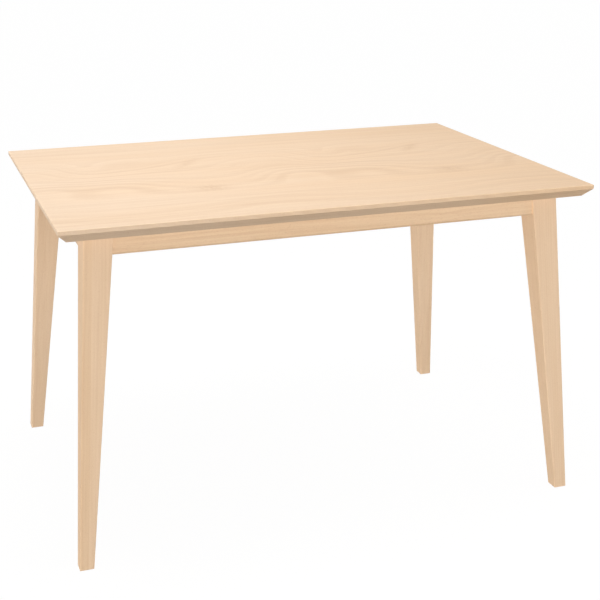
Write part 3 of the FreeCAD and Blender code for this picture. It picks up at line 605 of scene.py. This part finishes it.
def reshape(tree, mesh, x, y, radius, height):
    # sets every corner of a cylinder of radius 1 to its own radius and height
    place = joinVector(tree, mathNode(tree, "MULTIPLY", x, radius), mathNode(tree, "MULTIPLY", y, radius), height)
    return addNode(tree, "GeometryNodeSetPosition", {"Geometry": mesh, "Position": place}).outputs[0]


def turnedPart(tree, sides, profile, radius, height):
    # a turned shape: profile holds 9 pairs of height share and radius share
    last = len(profile) - 1
    body = cylinder(tree, {"Vertices": sides, "Side Segments": last, "Radius": 1.0, "Depth": 1.0})
    x, y, z = splitVector(tree, addNode(tree, "GeometryNodeInputPosition").outputs[0])
    step = mathNode(tree, "ADD", z, 0.5)
    values = []
    for column, size in ((1, radius), (0, height)):
        curve = addNode(tree, "ShaderNodeFloatCurve", {"Value": step})
        points = curve.mapping.curves[0].points
        for i, pair in enumerate(profile):
            where = (i / last, pair[column])
            if i in (0, last):
                points[0 if i == 0 else -1].location = where
            else:
                points.new(*where)
        for point in points:
            point.handle_type = "VECTOR"
        curve.mapping.update()
        values.append(mathNode(tree, "MULTIPLY", curve.outputs[0], size))
    return reshape(tree, body, x, y, *values)


def makeThreadedRod():
    # a rod with a cut thread and a tapered end, from Start to Start plus Length
    tree, source, result = newGroup("GeometryNodeTree", "threadedRod", {
        "Radius": 1.8, "Thread Depth": 0.5, "Pitch": 1.6, "Start": 0.0, "Length": 16.0, "Tip": 3.0, "Sides": 12,
        "Steps For Each Turn": 4.0}, {"Geometry": "Geometry"})
    length = source["Length"]
    turns = mathNode(tree, "DIVIDE", length, source["Pitch"])
    rings = mathNode(tree, "CEIL", mathNode(tree, "MULTIPLY", turns, source["Steps For Each Turn"]))
    rod = cylinder(tree, {"Vertices": source["Sides"], "Side Segments": rings, "Radius": 1.0, "Depth": length})
    x, y, z = splitVector(tree, addNode(tree, "GeometryNodeInputPosition").outputs[0])
    height = mathNode(tree, "ADD", z, mathNode(tree, "MULTIPLY", length, 0.5))
    angle = mathNode(tree, "DIVIDE", mathNode(tree, "ARCTAN2", y, x), math.tau)
    turn = mathNode(tree, "DIVIDE", height, source["Pitch"])
    wave = mathNode(tree, "FRACT", mathNode(tree, "SUBTRACT", turn, angle))
    wave = mathNode(tree, "ABSOLUTE", mathNode(tree, "MULTIPLY_ADD", wave, 2.0, -1.0))
    cut = mathNode(tree, "MULTIPLY", wave, source["Thread Depth"])
    radius = mathNode(tree, "SUBTRACT", source["Radius"], cut)
    taper = mathNode(tree, "DIVIDE", mathNode(tree, "SUBTRACT", length, height), source["Tip"])
    blunt = 0.12        # share of the radius that is left at the tip
    taper = mathNode(tree, "MINIMUM", mathNode(tree, "ADD", taper, blunt), 1.0)
    radius = mathNode(tree, "MULTIPLY", radius, taper)
    shaped = reshape(tree, rod, x, y, radius, mathNode(tree, "ADD", height, source["Start"]))
    feed(tree, result, {0: shaped})
    return tree


threadedRod = makeThreadedRod()


def addRod(tree, values, sides=12, steps=4.0):
    return addNode(tree, "GeometryNodeGroup", {"Sides": sides, "Steps For Each Turn": steps, **values},
                   node_tree=threadedRod).outputs[0]


def joinParts(tree, *parts):
    joined = addNode(tree, "GeometryNodeJoinGeometry")
    for part in parts:
        feed(tree, joined, {0: part})
    return joined.outputs[0]


def addShank(tree, head, sizes, headHeight, overlap, values, sides=12, steps=4.0):
    # the rod starts inside the head, at a share of its height, and is joined to it
    start = mathNode(tree, "MULTIPLY", headHeight, overlap)
    length = mathNode(tree, "SUBTRACT", sizes["Length"], start)
    return joinParts(tree, head, addRod(tree, {**values, "Start": start, "Length": length}, sides, steps))


def solidsTogether(tree, operation, body, *others):
    # DIFFERENCE takes the others away from the body, INTERSECT keeps what all share
    node = addNode(tree, "GeometryNodeMeshBoolean", {
        "Mesh 1" if operation == "DIFFERENCE" else "Mesh 2": body, "Self Intersection": True},
        operation=operation, solver="EXACT")
    for other in others:
        feed(tree, node, {"Mesh 2": other})
    return node.outputs["Mesh"]


def liftPart(tree, geometry, height):
    return addNode(tree, "GeometryNodeTransform", {
        "Geometry": geometry, "Translation": joinVector(tree, 0.0, 0.0, height)}).outputs[0]


# the hexagon's chamfer: height share, and radius as a share of half the width across the flats
hexChamfer = ((0, 0.93), (0.03, 0.97), (0.08, 1.03), (0.14, 1.12), (0.5, 1.2), (0.86, 1.12), (0.92, 1.03),
              (0.97, 0.97), (1, 0.93))


def hexPrism(tree, acrossFlats, height):
    # a hexagon with its corners turned off on both faces
    prism = cylinder(tree, {
        "Vertices": 6, "Radius": mathNode(tree, "DIVIDE", acrossFlats, math.sqrt(3)), "Depth": height})
    prism = liftPart(tree, prism, mathNode(tree, "MULTIPLY", height, 0.5))
    widest = max(share for level, share in hexChamfer)
    radius = mathNode(tree, "MULTIPLY", acrossFlats, 0.5 * widest)
    chamfer = turnedPart(tree, 32, [(level, share / widest) for level, share in hexChamfer], radius, height)
    return solidsTogether(tree, "INTERSECT", prism, chamfer)


def smooth(mesh, sharpAngle):
    mesh.polygons.foreach_set("use_smooth", [True] * len(mesh.polygons))
    mesh.set_sharp_from_angle(angle=math.radians(sharpAngle))


def finishPiece(name, places, tree, values, material, body, replaced):
    # the modifier's result becomes a plain mesh, and the modifier goes
    holder = pointCloud(name, places)
    values = {"Length": float(places[0][2] / millimetre), **values, "Material": material}
    modifier = holder.modifiers.new(tree.name, "NODES")
    modifier.node_group = tree
    for item in tree.interface.items_tree:
        if item.item_type == "SOCKET" and item.in_out == "INPUT" and item.name in values:
            modifier[item.identifier] = values[item.name]
    bpy.context.view_layer.update()
    mesh = bpy.data.meshes.new_from_object(holder.evaluated_get(bpy.context.evaluated_depsgraph_get()))
    holder.modifiers.clear()
    mesh.name = holder.name
    holder.data = mesh
    smooth(mesh, 32)
    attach(holder, body)
    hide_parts(*replaced)
    print(holder.name, len(mesh.polygons), "faces")


# wood screws, with a pan head or a countersunk head and a cross recess
woodScrew = {
    "sizes": {"Head Radius": 3.4, "Head Height": 1.8, "Shank Radius": 1.8, "Thread Depth": 0.5, "Pitch": 1.6,
              "Tip": 3.2},
    "panHead": [(0.0, 0.60), (0.05, 0.72), (0.16, 0.84), (0.34, 0.93), (0.55, 0.985), (0.75, 1.0), (0.96, 1.0),
                (1.0, 0.985), (1.0, 0.60)],
    "sunkHead": [(0.0, 0.97), (0.04, 1.0), (0.12, 1.0), (0.30, 0.90), (0.45, 0.82), (0.60, 0.74), (0.75, 0.66),
                 (0.90, 0.59), (1.0, 0.54)],
    "recess": (3.5, 0.95, 1.15),     # arm length, arm width, depth
    "overlap": 0.9,
    "sets": (("cornerScrews", "corner_block_screws", "frame", "panHead"),
             ("angleScrews", "shoe_angle_screws", "frame", "panHead"),
             ("socketScrews", "leaf_socket_screws", "frame", "panHead"),
             ("bracketScrews", "bolt_bracket_screws", "frame", "panHead"),
             ("guideScrews", "fork_guide_screws", "top", "panHead"),
             ("channelScrews", "slide_channel_screws", "top", "sunkHead")),
}


def makeScrewTree(name, profile):
    tree, sizes, result = startTree(name, dict(woodScrew["sizes"], Length=16.0))
    head = turnedPart(tree, 28, profile, sizes["Head Radius"], sizes["Head Height"])
    armLength, armWidth, depth = woodScrew["recess"]
    arms = [addNode(tree, "GeometryNodeMeshCube", {"Size": (x, y, 2 * depth)}).outputs["Mesh"]
            for x, y in ((armLength, armWidth), (armWidth, armLength))]
    head = solidsTogether(tree, "DIFFERENCE", head, *arms)
    thread = {"Radius": sizes["Shank Radius"], **{key: sizes[key] for key in ("Thread Depth", "Pitch", "Tip")}}
    endTree(tree, sizes, result, addShank(tree, head, sizes, sizes["Head Height"], woodScrew["overlap"], thread))
    return tree


screwTrees = {name: makeScrewTree(name, woodScrew[name]) for name in ("panHead", "sunkHead")}
for name, nodeName, body, head in woodScrew["sets"]:
    finishPiece(name, [longPlace(corners) for corners in looseParts(nodeName)], screwTrees[head],
                woodScrew["sizes"], screwSteel, body, [nodeName])

# hanger bolts, nuts and washers at the legs
legBolt = {
    "rod": {"Radius": 4.0, "Thread Depth": 0.55, "Pitch": 1.5, "Tip": 1.2},
    "nut": {"Across Flats": 13.0, "Height": 6.5, "Bore": 4.05},
    "boreLength": 40.0,         # longer than the nut, to cut right through
    "washer": {"Outer Radius": 11.0, "Inner Radius": 4.3, "Thickness": 2.0},
    "washerEdge": 0.3,
}
tree, sizes, result = startTree("hangerBolt", dict(legBolt["rod"], Length=84.0))
endTree(tree, sizes, result, addRod(tree, {key: sizes[key] for key in (*legBolt["rod"], "Length")}, 16))
finishPiece("hangerBolts", [longPlace(corners) for corners in looseParts("hanger_bolts")], tree, legBolt["rod"],
            zincSteel, "frame", ["hanger_bolts"])

tree, sizes, result = startTree("hexNut", legBolt["nut"])
nut = hexPrism(tree, sizes["Across Flats"], sizes["Height"])
bore = cylinder(tree, {"Vertices": 24, "Radius": sizes["Bore"], "Depth": legBolt["boreLength"]})
nut = solidsTogether(tree, "DIFFERENCE", nut, bore)
endTree(tree, sizes, result, liftPart(tree, nut, mathNode(tree, "MULTIPLY", sizes["Height"], -0.5)))
finishPiece("boltNuts", [flatPlace(corners) for corners in looseParts("bolt_nuts")], tree, legBolt["nut"],
            zincSteel, "frame", ["bolt_nuts"])

tree, sizes, result = startTree("roundWasher", legBolt["washer"])
middle = mathNode(tree, "ADD", sizes["Outer Radius"], sizes["Inner Radius"])
width = mathNode(tree, "SUBTRACT", sizes["Outer Radius"], sizes["Inner Radius"])
circle = addNode(tree, "GeometryNodeCurvePrimitiveCircle", {
    "Resolution": 40, "Radius": mathNode(tree, "MULTIPLY", middle, 0.5)}, mode="RADIUS")
section = addNode(tree, "GeometryNodeCurvePrimitiveQuadrilateral", {"Width": width, "Height": sizes["Thickness"]},
                  mode="RECTANGLE")
rounded = addNode(tree, "GeometryNodeFilletCurve", {0: section.outputs[0], "Radius": legBolt["washerEdge"]})
ringMesh = addNode(tree, "GeometryNodeCurveToMesh", {
    "Curve": circle.outputs[0], "Profile Curve": rounded.outputs[0]})
endTree(tree, sizes, result, ringMesh.outputs[0])
finishPiece("boltWashers", [flatPlace(corners) for corners in looseParts("bolt_washers")], tree,
            legBolt["washer"], zincSteel, "frame", ["bolt_washers"])

# the hexagon bolts of the shoes
shoeBolt = {
    "sizes": {"Across Flats": 7.96, "Height": 2.6, "Radius": 2.5, "Thread Depth": 0.4, "Pitch": 0.9, "Tip": 0.8},
    "overlap": 0.9,
}
tree, sizes, result = startTree("hexBolt", dict(shoeBolt["sizes"], Length=11.6))
head = hexPrism(tree, sizes["Across Flats"], sizes["Height"])
thread = {key: sizes[key] for key in ("Radius", "Thread Depth", "Pitch", "Tip")}
endTree(tree, sizes, result, addShank(tree, head, sizes, sizes["Height"], shoeBolt["overlap"], thread, 16))
finishPiece("shoeHexBolts", [longPlace(corners) for corners in looseParts("shoe_bolts")], tree, shoeBolt["sizes"],
            screwSteel, "frame", ["shoe_bolts"])

# foot glides: a moulded nylon disc on a nail
footGlide = {
    "sizes": {"Disc Radius": 10.0, "Disc Height": 1.5, "Nail Radius": 1.5},
    "disc": [(0.0, 0.0001), (0.0, 0.55), (0.0, 0.86), (0.10, 0.925), (0.30, 0.975), (0.55, 1.0), (0.80, 1.0),
             (1.0, 0.97), (1.0, 0.0001)],
    "nail": {"Thread Depth": 0.08, "Pitch": 1.0, "Tip": 3.0},
    "overlap": 0.6,
}
tree, sizes, result = startTree("footGlide", dict(footGlide["sizes"], Length=17.5))
disc = turnedPart(tree, 48, footGlide["disc"], sizes["Disc Radius"], sizes["Disc Height"])
nail = dict(footGlide["nail"], Radius=sizes["Nail Radius"])
endTree(tree, sizes, result, addShank(tree, disc, sizes, sizes["Disc Height"], footGlide["overlap"], nail, 12, 2.0))
glideNodes = ["foot_glide_" + corner for corner in legBoards]
finishPiece("footGlides", [uprightPlace(*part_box(nodeName)) for nodeName in glideNodes], tree, footGlide["sizes"],
            whiteNylon, "frame", glideNodes)

# felt pads under the stored leaf
feltPad = {
    "sizes": {"Length": 90.0, "Width": 40.0, "Thickness": 1.5, "Corner": 6.0, "Nap": 0.12},
    "cornerSteps": 6,
    "outlinePoints": 96,
    "fineness": 2,
    "napScale": 0.8,
    "napMiddle": (0.5, 0.5, 0.7),       # the nap stands out less than it sinks in
}
tree, sizes, result = startTree("feltPad", feltPad["sizes"])
outline = addNode(tree, "GeometryNodeCurvePrimitiveQuadrilateral", {
    "Width": sizes["Width"], "Height": sizes["Length"]}, mode="RECTANGLE")
rounded = addNode(tree, "GeometryNodeFilletCurve", {
    0: outline.outputs[0], "Count": feltPad["cornerSteps"], "Radius": sizes["Corner"]}, mode="POLY")
points = addNode(tree, "GeometryNodeResampleCurve", {"Curve": rounded.outputs[0], "Count": feltPad["outlinePoints"]})
filled = addNode(tree, "GeometryNodeFillCurve", {0: points.outputs[0]}, mode="TRIANGLES")
fine = addNode(tree, "GeometryNodeSubdivideMesh", {"Mesh": filled.outputs[0], "Level": feltPad["fineness"]})
raised = addNode(tree, "GeometryNodeExtrudeMesh", {
    "Mesh": fine.outputs[0], "Offset Scale": sizes["Thickness"], "Individual": False}, mode="FACES")
under = addNode(tree, "GeometryNodeFlipFaces", {0: fine.outputs[0]})
closed = addNode(tree, "GeometryNodeMergeByDistance", {
    "Geometry": joinParts(tree, raised.outputs["Mesh"], under.outputs[0]), "Distance": 0.001})
nap = addNode(tree, "ShaderNodeTexNoise", {"Scale": feltPad["napScale"]})
nap = vectorMath(tree, "SUBTRACT", nap.outputs["Color"], feltPad["napMiddle"])
nap = addNode(tree, "ShaderNodeVectorMath", {0: nap, "Scale": sizes["Nap"]}, operation="SCALE")
napped = addNode(tree, "GeometryNodeSetPosition", {"Geometry": closed.outputs[0], "Offset": nap.outputs[0]})
endTree(tree, sizes, result, napped.outputs[0])
pads = [(corners.min(0), corners.max(0)) for corners in looseParts("felt_pads")]
width, length, thickness = ((pads[-1][1] - pads[-1][0]) / millimetre).tolist()
finishPiece("feltPads", [uprightPlace(*pad) for pad in pads], tree,
            dict(feltPad["sizes"], Length=length, Width=width, Thickness=thickness), woolFelt, "frame",
            ["felt_pads"])

# the drop bolt, turned from bar, with a knurled knob
dropBolt = {
    "sides": 72,
    "knurls": 24,
    "knurlDepth": 0.35,
    "sharpAngle": 30,
    # height above the knob's underside, radius, share of the knurl
    "profile": ((0.0, 0.0, 0), (0.0, 7.6, 0), (0.25, 8.3, 0), (0.8, 8.95, 1), (4.2, 8.95, 1), (4.75, 8.3, 0),
                (5.0, 7.6, 0), (5.0, 4.9, 0), (5.15, 4.75, 0), (5.5, 4.85, 0), (21.5, 4.95, 0), (21.5, 6.7, 0),
                (21.8, 7.0, 0), (25.2, 7.0, 0), (25.5, 6.7, 0), (25.5, 4.95, 0), (39.8, 4.95, 0), (41.0, 4.6, 0),
                (41.7, 3.9, 0), (42.0, 3.0, 0), (42.0, 0.0, 0)),
}


def turnedMesh(name, centre, spec):
    mesh = bmesh.new()
    rings = []
    for height, radius, share in spec["profile"]:
        ring = []
        for i in range(spec["sides"] if radius else 1):     # one corner where the shape ends on its axis
            angle = math.tau * i / spec["sides"]
            depth = share * spec["knurlDepth"] * (0.5 - 0.5 * math.cos(angle * spec["knurls"]))
            reach = (radius - depth) * millimetre
            ring.append(mesh.verts.new((centre[0] + reach * math.cos(angle), centre[1] + reach * math.sin(angle),
                                        centre[2] + height * millimetre)))
        rings.append(ring)
    for lower, upper in zip(rings, rings[1:]):
        for i in range(spec["sides"]):
            j = (i + 1) % spec["sides"]
            corners = [lower[i % len(lower)], lower[j % len(lower)], upper[j % len(upper)], upper[i % len(upper)]]
            mesh.faces.new(list(dict.fromkeys(corners)))
    bmesh.ops.recalc_face_normals(mesh, faces=mesh.faces)
    plain = bpy.data.meshes.new(name)
    mesh.to_mesh(plain)
    mesh.free()
    smooth(plain, spec["sharpAngle"])
    return addObject(name, plain)


boltPiece = turnedMesh("turnedDropBolt", uprightPlace(*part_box("drop_bolt"))[0], dropBolt)
boltPiece.data.materials.append(turnedSteel)
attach(boltPiece, "drop_bolt")
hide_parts("drop_bolt")
print("fasteners, glides and pads made")


def aimAlong(made, direction):
    made.rotation_euler = Vector(direction).to_track_quat("-Z", "Y").to_euler()


# camera at the photograph's angle
camera = {"place": (-0.90770, -2.63348, 1.37782), "yaw": 0.3311, "pitch": 0.3191, "lens": 71.263,
          "shift": (0.02955, -0.02419), "sensor": 36.0}
cameraData = bpy.data.cameras.new("photoCamera")
cameraData.sensor_width = camera["sensor"]
cameraData.lens = camera["lens"]
cameraData.shift_x, cameraData.shift_y = camera["shift"]
cameraObject = addObject("photoCamera", cameraData)
cameraObject.location = camera["place"]
aimAlong(cameraObject, (math.sin(camera["yaw"]) * math.cos(camera["pitch"]),
                        math.cos(camera["yaw"]) * math.cos(camera["pitch"]), -math.sin(camera["pitch"])))
scene.camera = cameraObject

# studio
studio = {
    "lowerSky": 3.0,            # the ring of light round the horizon
    "middleSky": 0.03,
    "zenithSky": 0.80,          # the round light overhead
    "ringTop": 0.30,            # sine of the elevation where the ring ends
    "zenithStart": (0.70, 0.90),
    "zenithAim": (0.50, 0.0, 0.866),    # it leans away from the left legs
    "ringSide": (0.60, -0.80, 0.0),
    "frontShare": 0.35,         # how much the ring is stronger on that side
    "groundFade": (-0.12, 0.0),
    "belowGround": 0.16,        # what is left of the light below the horizon
    "keyPlace": (-0.42, -0.05, 2.45),
    "keyAim": (-0.25, 0.0, 0.7),
    "keySize": 1.1,
    "keyPower": 15.2,
    # direction, power and colour
    "fills": {"fillLeft": ((0.96, 0.10, -0.26), 1.34, (1.0, 0.97, 0.92)),
              "fillFront": ((0.05, 0.94, -0.34), 0.84, (1.0, 1.0, 1.0))},
    "floorHalf": 30.0,
    "floorBounce": (0.29, 0.29, 0.29, 1.0),
    "paper": (0.97, 0.97, 0.97, 1.0),
    "shadowShare": 0.07,
    "paperGlow": 1.03,
}
pureWhite = (1.0, 1.0, 1.0, 1.0)
scene.view_settings.view_transform = "Standard"


def seenDirectly(tree):
    # one for what the camera sees, also in a mirror or through glass, and nought for what only lights the table
    path = addNode(tree, "ShaderNodeLightPath").outputs
    seen = mathNode(tree, "MAXIMUM", path["Is Camera Ray"], path["Is Glossy Ray"])
    return mathNode(tree, "MAXIMUM", seen, path["Is Transmission Ray"])


def mixShader(tree, share, first, second):
    return addNode(tree, "ShaderNodeMixShader", {0: share, 1: first.outputs[0], 2: second.outputs[0]}).outputs[0]


world = bpy.data.worlds.new("studioSky")
scene.world = world
world.use_nodes = True
sky = world.node_tree
sky.nodes.clear()
around = addNode(sky, "ShaderNodeTexCoord").outputs["Generated"]
elevation = splitVector(sky, around)[2]
ring = mapRange(sky, elevation, (0.0, studio["ringTop"]), (studio["lowerSky"], studio["middleSky"]), "SMOOTHSTEP")
overhead = vectorMath(sky, "DOT_PRODUCT", around, studio["zenithAim"])
zenith = mapRange(sky, overhead, studio["zenithStart"], (0.0, studio["zenithSky"]), "SMOOTHSTEP")
aboveGround = mapRange(sky, elevation, studio["groundFade"], (studio["belowGround"], 1.0), "SMOOTHSTEP")
facing = vectorMath(sky, "DOT_PRODUCT", around, studio["ringSide"])
facing = mathNode(sky, "MULTIPLY_ADD", facing, studio["frontShare"], 1.0)
skyLevel = mathNode(sky, "MULTIPLY", mathNode(sky, "MULTIPLY_ADD", ring, facing, zenith), aboveGround)
dim = addNode(sky, "ShaderNodeBackground", {"Color": pureWhite, "Strength": skyLevel})
white = addNode(sky, "ShaderNodeBackground", {"Color": pureWhite})
addNode(sky, "ShaderNodeOutputWorld", {"Surface": mixShader(sky, seenDirectly(sky), dim, white)})

keyData = bpy.data.lights.new("keyLamp", "AREA")
keyData.size = studio["keySize"]
keyData.energy = studio["keyPower"]
keyLamp = addObject("keyLamp", keyData)
keyLamp.location = studio["keyPlace"]
aimAlong(keyLamp, Vector(studio["keyAim"]) - Vector(studio["keyPlace"]))

# two even fill lights without shadows, so that the inner faces of the legs are as light as the outer ones
for name, (direction, power, colour) in studio["fills"].items():
    fillData = bpy.data.lights.new(name, "SUN")
    fillData.energy = power
    fillData.color = colour
    fillData.use_shadow = False
    fillLamp = addObject(name, fillData)
    aimAlong(fillLamp, direction)
    fillLamp.visible_glossy = False

half = studio["floorHalf"]
floorMesh = bpy.data.meshes.new("studioFloor")
floorMesh.from_pydata([(-half, -half, 0), (half, -half, 0), (half, half, 0), (-half, half, 0)], [], [(0, 1, 2, 3)])
floorObject = addObject("studioFloor", floorMesh)
floorMaterial = bpy.data.materials.new("palePaperFloor")
floorMaterial.use_nodes = True
paper = floorMaterial.node_tree
paper.nodes.clear()
seen = seenDirectly(paper)
lit = addNode(paper, "ShaderNodeBsdfDiffuse", {
    "Color": mixColour(paper, seen, studio["floorBounce"], studio["paper"])})
glow = addNode(paper, "ShaderNodeEmission", {"Color": pureWhite, "Strength": studio["paperGlow"]})
glowShare = mathNode(paper, "MULTIPLY", seen, 1 - studio["shadowShare"])
addNode(paper, "ShaderNodeOutputMaterial", {"Surface": mixShader(paper, glowShare, lit, glow)})
floorMesh.materials.append(floorMaterial)
floorObject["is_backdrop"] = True
print("camera and studio set")

sizes = {"cad": [list(c) for c in cadBounds], "visual": [list(c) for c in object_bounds()]}
